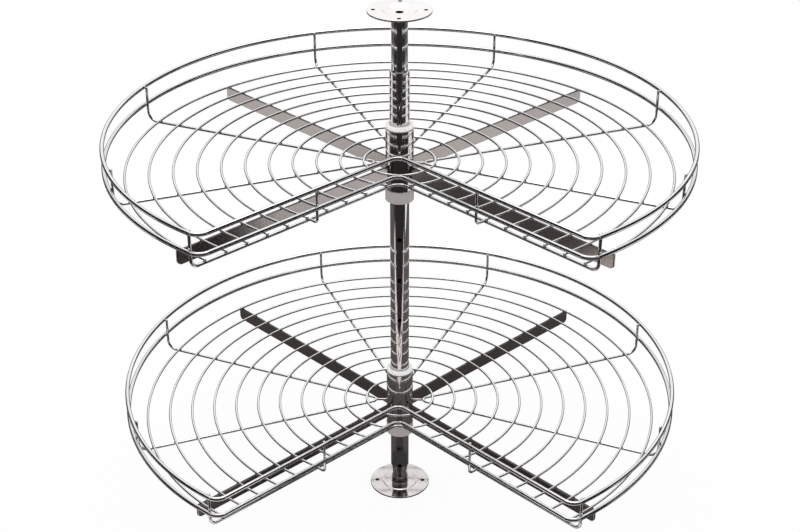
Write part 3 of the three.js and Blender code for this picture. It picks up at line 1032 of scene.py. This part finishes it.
def add_floor():
    half = FLOOR_HALF
    data = bpy.data.meshes.new("floor")
    corners = [(-half, -half, 0), (half, -half, 0), (half, half, 0), (-half, half, 0)]
    data.from_pydata(corners, [], [(0, 1, 2, 3)])
    made, nodes, links, shader = new_material("pale_floor")
    shader.inputs["Base Color"].default_value = opaque(FLOOR_GREY)
    shader.inputs["Roughness"].default_value = FLOOR_ROUGHNESS
    white = nodes.new("ShaderNodeEmission")
    white.inputs["Strength"].default_value = 1
    path = nodes.new("ShaderNodeLightPath")
    share = nodes.new("ShaderNodeMath")
    share.operation = "MULTIPLY"
    share.inputs[1].default_value = FLOOR_WHITE
    mix = nodes.new("ShaderNodeMixShader")
    links.new(path.outputs["Is Camera Ray"], share.inputs[0])
    links.new(share.outputs[0], mix.inputs["Fac"])
    links.new(shader.outputs[0], mix.inputs[1])
    links.new(white.outputs[0], mix.inputs[2])
    links.new(mix.outputs[0], nodes["Material Output"].inputs["Surface"])
    data.materials.append(made)
    floor = bpy.data.objects.new("floor", data)
    floor.location.z = -FLOOR_DROP
    bpy.context.scene.collection.objects.link(floor)


def add_card(name, corners, value, tint=WARM):
    """A card of the studio, seen only in the chrome."""
    data = bpy.data.meshes.new(name)
    data.from_pydata(corners, [], [tuple(range(len(corners)))])
    made, _, _, shader = new_material(name)
    shader.inputs["Base Color"].default_value = opaque(tuple(value * part for part in tint))
    shader.inputs["Roughness"].default_value = 1
    shader.inputs["Specular IOR Level"].default_value = 0
    data.materials.append(made)
    card = bpy.data.objects.new(name, data)
    card.visible_camera = False
    card.visible_diffuse = False
    card.visible_shadow = False
    card.visible_transmission = False
    bpy.context.scene.collection.objects.link(card)


def add_cards():
    """What the chrome sees: a dark mat and room, a bright table edge, pale sides, light strips."""
    flange_shade = [point.xy for point in circle(FLANGE_SHADE_RADIUS, CIRCLE_SEGMENTS)]
    flats = {  # name: outline, grey and tint, from the lowest card to the highest
        "dark_mat": (DARK_MAT, 0.1, WARM),
        "dark_room": (DARK_ROOM, 0.025, WARM),
        "foot_shade": (FOOT_SHADE, 0.055, WARM),
        "flange_shade": (flange_shade, 0.01, WARM),
        "table_edge": (TABLE_EDGE, 0.85, WARM),
        "right_glow": (RIGHT_GLOW, 0.86, NEUTRAL),
        "left_glow": (LEFT_GLOW, 0.86, NEUTRAL),
    }
    for layer, (name, (outline, value, tint)) in enumerate(flats.items()):
        add_card(name, [(x, y, layer * CARD_STEP) for x, y in outline], value, tint)
    up = UP * STRIP_LENGTH / 2
    for azimuth in STRIP_AZIMUTHS:
        middle = polar(STRIP_DISTANCE, math.radians(azimuth), STRIP_HEIGHT)
        aside = UP.cross(middle).normalized() * STRIP_WIDTH / 2
        low, high = middle - up, middle + up
        add_card("light_strip", [low - aside, low + aside, high + aside, high - aside], STRIP_GREY)
    # painted shadow under the bottom flange
    add_painted_flange_shadow()


def add_painted_flange_shadow():
    """A near-black disc right under the bottom flange, seen through its screw holes: painted
    shadow.
    """
    corners = circle(SCREW_CIRCLE / 2 + SCREW_HOLE, CIRCLE_SEGMENTS, -GROUND_DROP)
    data = bpy.data.meshes.new("painted_flange_shadow_disc")
    data.from_pydata(corners, [], [tuple(range(len(corners)))])
    made, _, _, shader = new_material("painted_shadow_ground")
    shader.inputs["Base Color"].default_value = opaque(PAINTED_SHADOW_GREY)
    shader.inputs["Roughness"].default_value = 1
    data.materials.append(made)
    ground = bpy.data.objects.new("painted_flange_shadow_disc", data)
    bpy.context.scene.collection.objects.link(ground)


def add_world():
    """White, but in the chrome bright above and behind, and dark in front and far to the sides."""
    world = bpy.data.worlds.new("studio")
    bpy.context.scene.world = world
    world.use_nodes = True
    nodes, links = world.node_tree.nodes, world.node_tree.links
    place = nodes.new("ShaderNodeTexCoord")
    lean = nodes.new("ShaderNodeVectorMath")
    lean.operation = "DOT_PRODUCT"
    lean.inputs[1].default_value = (0, math.sin(SKY_LEAN), math.cos(SKY_LEAN))
    across = nodes.new("ShaderNodeVectorMath")
    across.operation = "ABSOLUTE"
    parts = nodes.new("ShaderNodeSeparateXYZ")
    links.new(place.outputs["Generated"], lean.inputs[0])
    links.new(place.outputs["Generated"], across.inputs[0])
    links.new(across.outputs["Vector"], parts.inputs[0])
    sky = ramp(nodes, links, lean.outputs["Value"], SKY_DARK, 1, SKY_RISE)
    sides = (SKY_HALF_WIDTH - SKY_SOFTNESS, SKY_HALF_WIDTH + SKY_SOFTNESS)
    band = ramp(nodes, links, parts.outputs["X"], 1, SKY_ASIDE, sides)
    path = nodes.new("ShaderNodeLightPath")
    mix = nodes.new("ShaderNodeMix")
    mix.data_type = "RGBA"
    factor, plain_side, chrome_side = (
        next(s for s in mix.inputs if s.name == name and s.enabled) for name in ("Factor", "A", "B")
    )
    links.new(path.outputs["Is Glossy Ray"], factor)
    plain_side.default_value = opaque(1)
    links.new(product(nodes, links, sky, band), chrome_side)
    mixed = next(o for o in mix.outputs if o.enabled)
    links.new(mixed, nodes["Background"].inputs["Color"])


def add_lamp():
    data = bpy.data.lights.new("overhead", "AREA")
    data.size = LAMP_SIZE
    data.energy = LAMP_WATTS
    lamp = bpy.data.objects.new("overhead", data)
    lamp.location = LAMP_PLACE
    lamp.rotation_euler = (LAMP_AIM - LAMP_PLACE).to_track_quat("-Z", "Y").to_euler()
    bpy.context.scene.collection.objects.link(lamp)


# ---- everything --------------------------------------------------------------------------------

add_camera()
materials = make_materials()
for tier in TIERS:
    add_basket(tier)
    add_collar(tier)
add_outer_tube()
add_inner_tube()
add_bottom_flange()
add_top_flange()
add_floor()
add_cards()
add_world()
add_lamp()
bpy.context.scene.view_settings.view_transform = "Standard"
